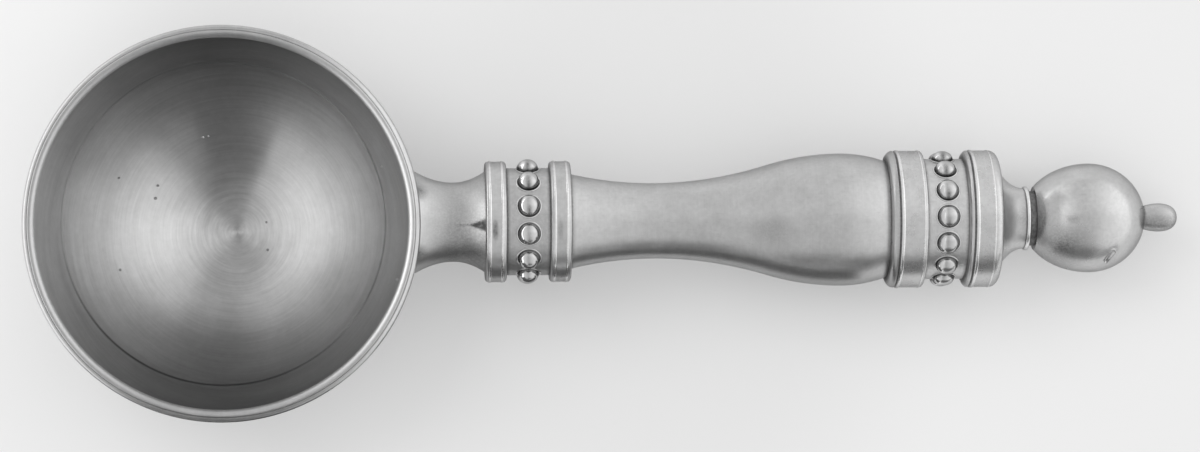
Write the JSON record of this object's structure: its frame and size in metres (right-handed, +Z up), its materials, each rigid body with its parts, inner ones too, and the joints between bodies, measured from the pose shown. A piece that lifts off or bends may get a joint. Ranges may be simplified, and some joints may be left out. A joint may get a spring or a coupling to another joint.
{
  "type": "serving scoop",
  "caption": "Round-bowled metal serving scoop with a turned baluster handle, beaded collars and a ball finial.",
  "frame": {"origin": "centre of the small resting flat under the bowl, on the table", "axes": "+X along the handle towards the finial, +Z up out of the bowl, with the scoop lying at rest"},
  "size_m": [0.189, 0.0646, 0.0293],
  "materials": {
    "bowl_steel": "brushed in circles",
    "rim_steel": "satin",
    "handle_steel": "satin, turned",
    "ring_steel": "satin with bright edges",
    "band_steel": "satin, darker in the corners",
    "bead_steel": "polished",
    "finial_steel": "polished",
    "rod_steel": "plain, hidden inside"
  },
  "bodies": {
    "root": {"bowl": "bowl_steel", "rim_wire": "rim_steel", "neck": "handle_steel", "front_ring_bowl_side": "ring_steel", "front_bead_band": "band_steel", "front_ring_grip_side": "ring_steel", "grip": "handle_steel", "rear_ring_grip_side": "ring_steel", "rear_bead_band": "band_steel", "rear_ring_finial_side": "ring_steel", "finial_neck": "handle_steel", "finial_ball": "finial_steel", "finial_tip": "finial_steel", "tie_rod": "rod_steel", "front_bead_01": "bead_steel", "front_bead_02": "bead_steel", "front_bead_03": "bead_steel", "front_bead_04": "bead_steel", "front_bead_05": "bead_steel", "front_bead_06": "bead_steel", "front_bead_07": "bead_steel", "front_bead_08": "bead_steel", "front_bead_09": "bead_steel", "front_bead_10": "bead_steel", "front_bead_11": "bead_steel", "front_bead_12": "bead_steel", "rear_bead_01": "bead_steel", "rear_bead_02": "bead_steel", "rear_bead_03": "bead_steel", "rear_bead_04": "bead_steel", "rear_bead_05": "bead_steel", "rear_bead_06": "bead_steel", "rear_bead_07": "bead_steel", "rear_bead_08": "bead_steel", "rear_bead_09": "bead_steel", "rear_bead_10": "bead_steel", "rear_bead_11": "bead_steel", "rear_bead_12": "bead_steel", "rear_bead_13": "bead_steel", "rear_bead_14": "bead_steel"}
  },
  "joints": []
}
